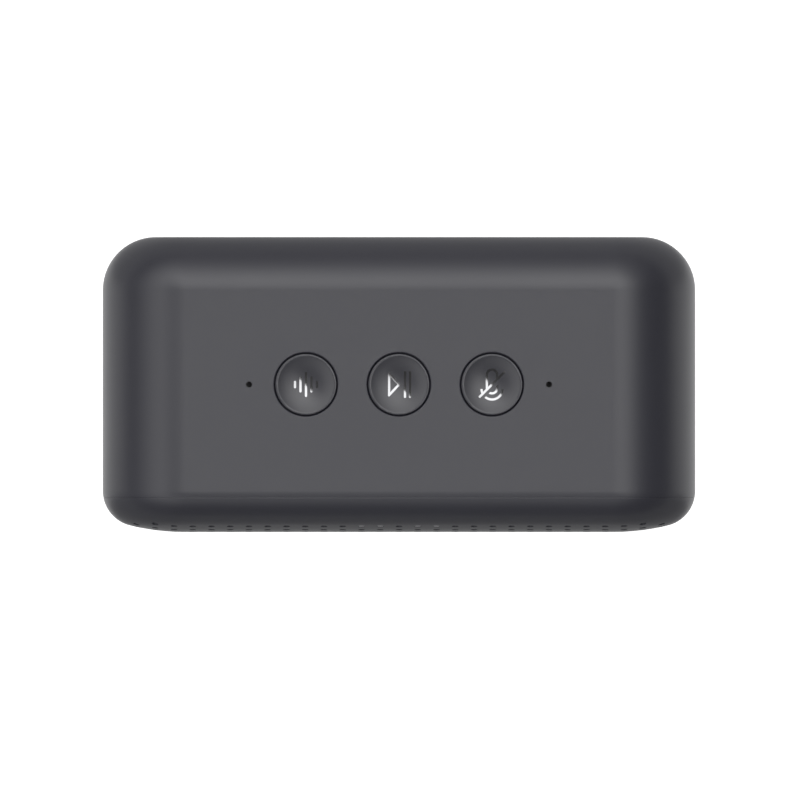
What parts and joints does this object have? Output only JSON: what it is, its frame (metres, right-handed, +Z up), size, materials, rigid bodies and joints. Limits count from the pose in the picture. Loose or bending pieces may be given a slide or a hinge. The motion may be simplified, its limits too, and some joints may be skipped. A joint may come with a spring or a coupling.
{
  "type": "smart speaker",
  "caption": "Compact rounded smart speaker with a perforated front, dished round push buttons and microphone holes on top, a full-range driver and boards inside.",
  "frame": {"origin": "centre of the footprint, on the surface that the speaker stands on", "axes": "+Z up, -Y towards the perforated front, +X to the right when the front is faced"},
  "size_m": [0.1186, 0.059, 0.081],
  "materials": {
    "shell": "fine satin texture",
    "cap": "fine satin texture",
    "icon": "polished",
    "cloth": "fine open knit",
    "inner_plastic": "moulded",
    "rubber": "matte",
    "screw": "zinc plated",
    "basket": "black paint",
    "steel": "zinc plated",
    "magnet": "ferrite",
    "terminal": "plain",
    "surround": "matte",
    "spider": "resin-stiffened weave",
    "cone": "black pressed pulp",
    "former": "plain",
    "winding": "enamelled copper wire",
    "board": "solder mask",
    "switch": "moulded",
    "plunger": "moulded",
    "microphone": "metal lid",
    "connector": "moulded",
    "ribbon": "flat flexible cable",
    "light_guide": "frosted clear plastic",
    "led": "phosphor",
    "shield": "tinned",
    "capacitor": "plain",
    "antenna": "copper on film",
    "coax": "jacket",
    "lead_red": "jacket",
    "lead_black": "jacket"
  },
  "bodies": {
    "speaker": {"main_housing": "shell", "front_grille": "shell", "grille_cloth": "cloth", "front_baffle": "inner_plastic", "baffle_gasket": "rubber", "baffle_screws": "screw", "driver_basket": "basket", "driver_top_plate": "steel", "driver_magnet": "magnet", "driver_yoke": "steel", "driver_terminals": "terminal", "driver_screws": "screw", "driver_surround": "surround", "driver_spider": "spider", "left_microphone": "microphone", "right_microphone": "microphone", "left_microphone_boot": "rubber", "right_microphone_boot": "rubber", "button_board": "board", "button_board_screws": "screw", "button_board_connector": "connector", "button_ribbon": "ribbon", "status_light_guide": "light_guide", "status_light_board": "board", "status_led_1": "led", "status_led_2": "led", "status_led_3": "led", "status_led_4": "led", "status_light_ribbon": "ribbon", "main_board": "board", "main_board_screws": "screw", "processor_shield": "shield", "radio_module": "shield", "power_capacitor": "capacitor", "speaker_connector": "connector", "ribbon_connector": "connector", "power_socket": "steel", "power_socket_tongue": "inner_plastic", "radio_antenna": "antenna", "antenna_cable": "coax", "speaker_lead_red": "lead_red", "speaker_lead_black": "lead_black", "foot_pad": "rubber", "assistant_switch_body": "switch", "play_switch_body": "switch", "mute_switch_body": "switch"},
    "driver_cone_assembly": {"driver_cone": "cone", "dust_cap": "cone", "coil_former": "former", "coil_winding": "winding"},
    "assistant_button": {"assistant_button_cap": "cap", "assistant_button_icon": "icon", "assistant_switch_plunger": "plunger"},
    "play_button": {"play_button_cap": "cap", "play_button_icon": "icon", "play_switch_plunger": "plunger"},
    "mute_button": {"mute_button_cap": "cap", "mute_button_icon": "icon", "mute_switch_plunger": "plunger"}
  },
  "joints": [
    {"name": "assistant_press", "type": "slide", "parent": "speaker", "child": "assistant_button", "axis": [0, 0, -1], "range_m": [0, 0.0004], "stiffness_N_per_m": 5000},
    {"name": "play_press", "type": "slide", "parent": "speaker", "child": "play_button", "axis": [0, 0, -1], "range_m": [0, 0.0004], "stiffness_N_per_m": 5000},
    {"name": "mute_press", "type": "slide", "parent": "speaker", "child": "mute_button", "axis": [0, 0, -1], "range_m": [0, 0.0004], "stiffness_N_per_m": 5000},
    {"name": "cone_travel", "type": "slide", "parent": "speaker", "child": "driver_cone_assembly", "axis": [0, -1, 0], "range_m": [-0.001, 0.001], "stiffness_N_per_m": 1500, "deforming": ["driver_surround", "driver_spider"]}
  ]
}
